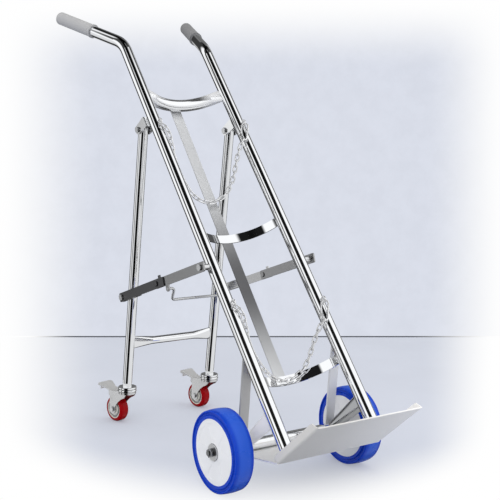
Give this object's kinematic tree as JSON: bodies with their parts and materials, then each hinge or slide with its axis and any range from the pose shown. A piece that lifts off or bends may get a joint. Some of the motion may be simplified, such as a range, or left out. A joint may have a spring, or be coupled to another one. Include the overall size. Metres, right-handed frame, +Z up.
{
  "type": "gas cylinder trolley",
  "caption": "Gas cylinder trolley with a leaning bent-tube frame, toe tray, road wheels, safety chains and a folding rear leg frame on braked swivel casters, held open by jointed stays.",
  "frame": {"origin": "on the floor, in the middle of the trolley's width and of its length", "axes": "+X across the trolley, to the right looking from the tray towards the handles, +Y from the toe tray to the handles, +Z up; the trolley stands on its four wheels with the rear legs open"},
  "size_m": [0.474, 1.1908, 1.1928],
  "materials": {
    "polished_stainless": "mirror polished",
    "bright_chain": "bright plated",
    "satin_stainless": "satin",
    "zinc_steel": "zinc plated",
    "grey_grip": "matte",
    "blue_tyre": "solid rubber, satin",
    "white_nylon": "moulded",
    "red_tread": "polyurethane, satin",
    "cream_nylon": "moulded"
  },
  "bodies": {
    "main_frame": {"left_main_tube": "polished_stainless", "right_main_tube": "polished_stainless", "top_cross_tube": "polished_stainless", "upper_cradle_band": "polished_stainless", "lower_cradle_band": "polished_stainless", "back_strap": "satin_stainless", "toe_tray": "satin_stainless", "base_pan": "satin_stainless", "left_axle_brace": "polished_stainless", "right_axle_brace": "polished_stainless", "left_strut": "satin_stainless", "right_strut": "satin_stainless", "axle_tube": "polished_stainless", "axle_rod": "zinc_steel", "axle_washers": "zinc_steel", "axle_nuts": "zinc_steel", "left_grip": "grey_grip", "right_grip": "grey_grip", "left_leg_bracket": "satin_stainless", "right_leg_bracket": "satin_stainless", "leg_pivot_bolts": "zinc_steel", "front_stay_pins": "zinc_steel", "chain_eyes": "bright_chain", "upper_chain": "bright_chain", "lower_chain": "bright_chain", "upper_snap_hook": "bright_chain", "lower_snap_hook": "bright_chain"},
    "rear_legs": {"left_leg": "polished_stainless", "right_leg": "polished_stainless", "rear_cross_bar": "polished_stainless", "rear_stay_pins": "zinc_steel", "left_caster_top": "zinc_steel", "right_caster_top": "zinc_steel", "caster_stem_nuts": "zinc_steel"},
    "left_stay_front": {"left_front_stay": "satin_stainless", "release_handle": "satin_stainless"},
    "right_stay_front": {"right_front_stay": "satin_stainless"},
    "left_stay_rear": {"left_rear_stay": "satin_stainless"},
    "right_stay_rear": {"right_rear_stay": "satin_stainless"},
    "upper_gate": {"upper_hook_gate": "bright_chain"},
    "lower_gate": {"lower_hook_gate": "bright_chain"},
    "left_road_wheel": {"left_tyre": "blue_tyre", "left_wheel_hub": "white_nylon", "left_wheel_bearings": "zinc_steel"},
    "left_swivel": {"left_caster_fork": "zinc_steel", "left_caster_race": "zinc_steel", "left_caster_pins": "zinc_steel"},
    "left_caster_wheel": {"left_caster_tyre": "red_tread", "left_caster_rim": "cream_nylon"},
    "left_pedal": {"left_brake_pedal": "zinc_steel"},
    "right_road_wheel": {"right_tyre": "blue_tyre", "right_wheel_hub": "white_nylon", "right_wheel_bearings": "zinc_steel"},
    "right_swivel": {"right_caster_fork": "zinc_steel", "right_caster_race": "zinc_steel", "right_caster_pins": "zinc_steel"},
    "right_caster_wheel": {"right_caster_tyre": "red_tread", "right_caster_rim": "cream_nylon"},
    "right_pedal": {"right_brake_pedal": "zinc_steel"}
  },
  "joints": [
    {"name": "leg_fold", "type": "hinge", "parent": "main_frame", "child": "rear_legs", "pos_m": [0, 0.20949, 0.8513], "axis": [-1, 0, 0], "range_deg": [0, 30]},
    {"name": "left_stay_front_fold", "type": "hinge", "parent": "main_frame", "child": "left_stay_front", "pos_m": [0, -0.14247, 0.51742], "axis": [1, 0, 0], "range_deg": [0, 46.32]},
    {"name": "left_stay_rear_fold", "type": "hinge", "parent": "rear_legs", "child": "left_stay_rear", "pos_m": [0, 0.27351, 0.38164], "axis": [-1, 0, 0], "range_deg": [0, 48.91]},
    {"name": "left_wheel_spin", "type": "hinge", "parent": "main_frame", "child": "left_road_wheel", "pos_m": [0, -0.28908, 0.1], "axis": [1, 0, 0], "continuous": true},
    {"name": "left_caster_swivel", "type": "hinge", "parent": "rear_legs", "child": "left_swivel", "pos_m": [-0.14, 0.30892, 0.0975], "axis": [0, 0, 1], "continuous": true},
    {"name": "left_caster_spin", "type": "hinge", "parent": "left_swivel", "child": "left_caster_wheel", "pos_m": [-0.14956, 0.35391, 0.0375], "axis": [0.9781, 0.2079, 0], "continuous": true},
    {"name": "left_brake_press", "type": "hinge", "parent": "left_swivel", "child": "left_pedal", "pos_m": [-0.14998, 0.35587, 0.084], "axis": [-0.9781, -0.2079, 0], "range_deg": [0, 11]},
    {"name": "right_stay_front_fold", "type": "hinge", "parent": "main_frame", "child": "right_stay_front", "pos_m": [0, -0.14247, 0.51742], "axis": [1, 0, 0], "range_deg": [0, 46.32]},
    {"name": "right_stay_rear_fold", "type": "hinge", "parent": "rear_legs", "child": "right_stay_rear", "pos_m": [0, 0.27351, 0.38164], "axis": [-1, 0, 0], "range_deg": [0, 48.91]},
    {"name": "right_wheel_spin", "type": "hinge", "parent": "main_frame", "child": "right_road_wheel", "pos_m": [0, -0.28908, 0.1], "axis": [1, 0, 0], "continuous": true},
    {"name": "right_caster_swivel", "type": "hinge", "parent": "rear_legs", "child": "right_swivel", "pos_m": [0.14, 0.30892, 0.0975], "axis": [0, 0, 1], "continuous": true},
    {"name": "right_caster_spin", "type": "hinge", "parent": "right_swivel", "child": "right_caster_wheel", "pos_m": [0.13044, 0.35391, 0.0375], "axis": [0.9781, 0.2079, 0], "continuous": true},
    {"name": "right_brake_press", "type": "hinge", "parent": "right_swivel", "child": "right_pedal", "pos_m": [0.13002, 0.35587, 0.084], "axis": [-0.9781, -0.2079, 0], "range_deg": [0, 11]},
    {"name": "upper_gate_open", "type": "hinge", "parent": "main_frame", "child": "upper_gate", "pos_m": [0.11228, 0.10978, 0.84036], "axis": [0.3424, 0.7198, -0.6039], "range_deg": [0, 25], "stiffness_Nm_per_rad": 0.05, "springref_deg": -11.46},
    {"name": "lower_gate_open", "type": "hinge", "parent": "main_frame", "child": "lower_gate", "pos_m": [0.11228, -0.26496, 0.39376], "axis": [0.3424, 0.7198, -0.6039], "range_deg": [0, 25], "stiffness_Nm_per_rad": 0.05, "springref_deg": -11.46}
  ],
  "couplings": [
    {"joint": "left_stay_front_fold", "follows": "leg_fold", "ratio": 1.5422},
    {"joint": "left_stay_rear_fold", "follows": "leg_fold", "ratio": 1.6285},
    {"joint": "right_stay_front_fold", "follows": "leg_fold", "ratio": 1.5422},
    {"joint": "right_stay_rear_fold", "follows": "leg_fold", "ratio": 1.6285}
  ]
}
